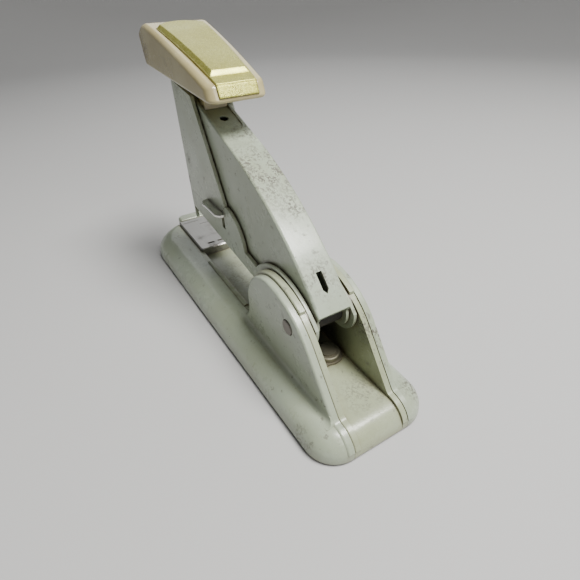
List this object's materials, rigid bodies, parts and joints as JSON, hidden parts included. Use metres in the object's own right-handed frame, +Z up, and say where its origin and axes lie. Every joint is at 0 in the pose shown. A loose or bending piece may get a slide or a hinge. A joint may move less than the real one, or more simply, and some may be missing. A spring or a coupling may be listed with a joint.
{
  "type": "long reach stapler",
  "caption": "Heavy desk stapler with a long throat: a rounded base with hinge cheeks, a lifting arm with magazine and column, and a pressed lever handle with a palm grip.",
  "frame": {"origin": "middle of the footprint, on the plane of the rubber feet", "axes": "+X towards the hinge end, -X towards the anvil end, +Z up; the XZ plane divides left from right"},
  "size_m": [0.258, 0.0778, 0.1624],
  "materials": {
    "green_paint": "aged sage-green gloss enamel",
    "green_paint_inner": "aged sage-green enamel, soiled",
    "grip_plastic": "aged cream moulded plastic",
    "inlay_brass": "pale gold, brushed and lacquered",
    "chrome": "polished",
    "steel": "brushed",
    "dark_steel": "oiled",
    "spring_steel": "oiled spring steel",
    "rubber": "matte"
  },
  "bodies": {
    "base": {"base_shell": "green_paint", "base_channel": "green_paint_inner", "base_plate": "dark_steel", "base_screws": "dark_steel", "base_feet": "rubber", "anvil_plate": "steel", "anvil_rivets": "dark_steel", "hinge_pin": "chrome", "outer_washers": "dark_steel", "inner_washers": "dark_steel", "lift_spring": "spring_steel", "spring_rivet": "dark_steel"},
    "arm": {"arm_frame": "green_paint", "column_cover": "green_paint", "nose_plate": "green_paint", "magazine_channel": "steel", "staple_core": "dark_steel", "staple_strip": "steel", "magazine_stop": "dark_steel", "magazine_hanger": "dark_steel", "driver_guide": "dark_steel", "spring_post": "dark_steel", "return_spring": "spring_steel", "latch_spring": "spring_steel", "pusher_spring": "spring_steel"},
    "handle": {"handle_lever": "green_paint", "handle_bracket": "dark_steel", "cross_pin": "steel", "pivot_bush": "dark_steel", "palm_cap": "grip_plastic", "cap_inlay": "inlay_brass", "cap_screws": "dark_steel"},
    "driver": {"driver_crosshead": "dark_steel", "driver_blade": "steel", "driver_rivets": "dark_steel"},
    "latch": {"release_latch": "chrome"},
    "pusher": {"pusher": "dark_steel"}
  },
  "joints": [
    {"name": "arm_hinge", "type": "hinge", "parent": "base", "child": "arm", "pos_m": [0.0784, 0, 0.0458], "axis": [0, 1, 0], "range_deg": [-10.1, 0], "stiffness_Nm_per_rad": 2, "springref_deg": 34.38, "deforming": ["lift_spring"]},
    {"name": "handle_hinge", "type": "hinge", "parent": "arm", "child": "handle", "pos_m": [0.0784, 0, 0.0458], "axis": [0, 1, 0], "range_deg": [-6.5, 0], "stiffness_Nm_per_rad": 3, "springref_deg": 17.19, "deforming": ["return_spring"]},
    {"name": "driver_slide", "type": "slide", "parent": "arm", "child": "driver", "axis": [0, 0, -1], "range_m": [0, 0.0165]},
    {"name": "latch_slide", "type": "slide", "parent": "arm", "child": "latch", "axis": [0, 0, -1], "range_m": [0, 0.004], "stiffness_N_per_m": 300, "springref_m": -0.004, "deforming": ["latch_spring"]},
    {"name": "pusher_slide", "type": "slide", "parent": "arm", "child": "pusher", "axis": [0.9954, 0, -0.0958], "range_m": [0, 0.035], "stiffness_N_per_m": 60, "springref_m": -0.03}
  ],
  "couplings": [
    {"joint": "driver_slide", "follows": "handle_hinge", "m_per_rad": -0.1412}
  ]
}
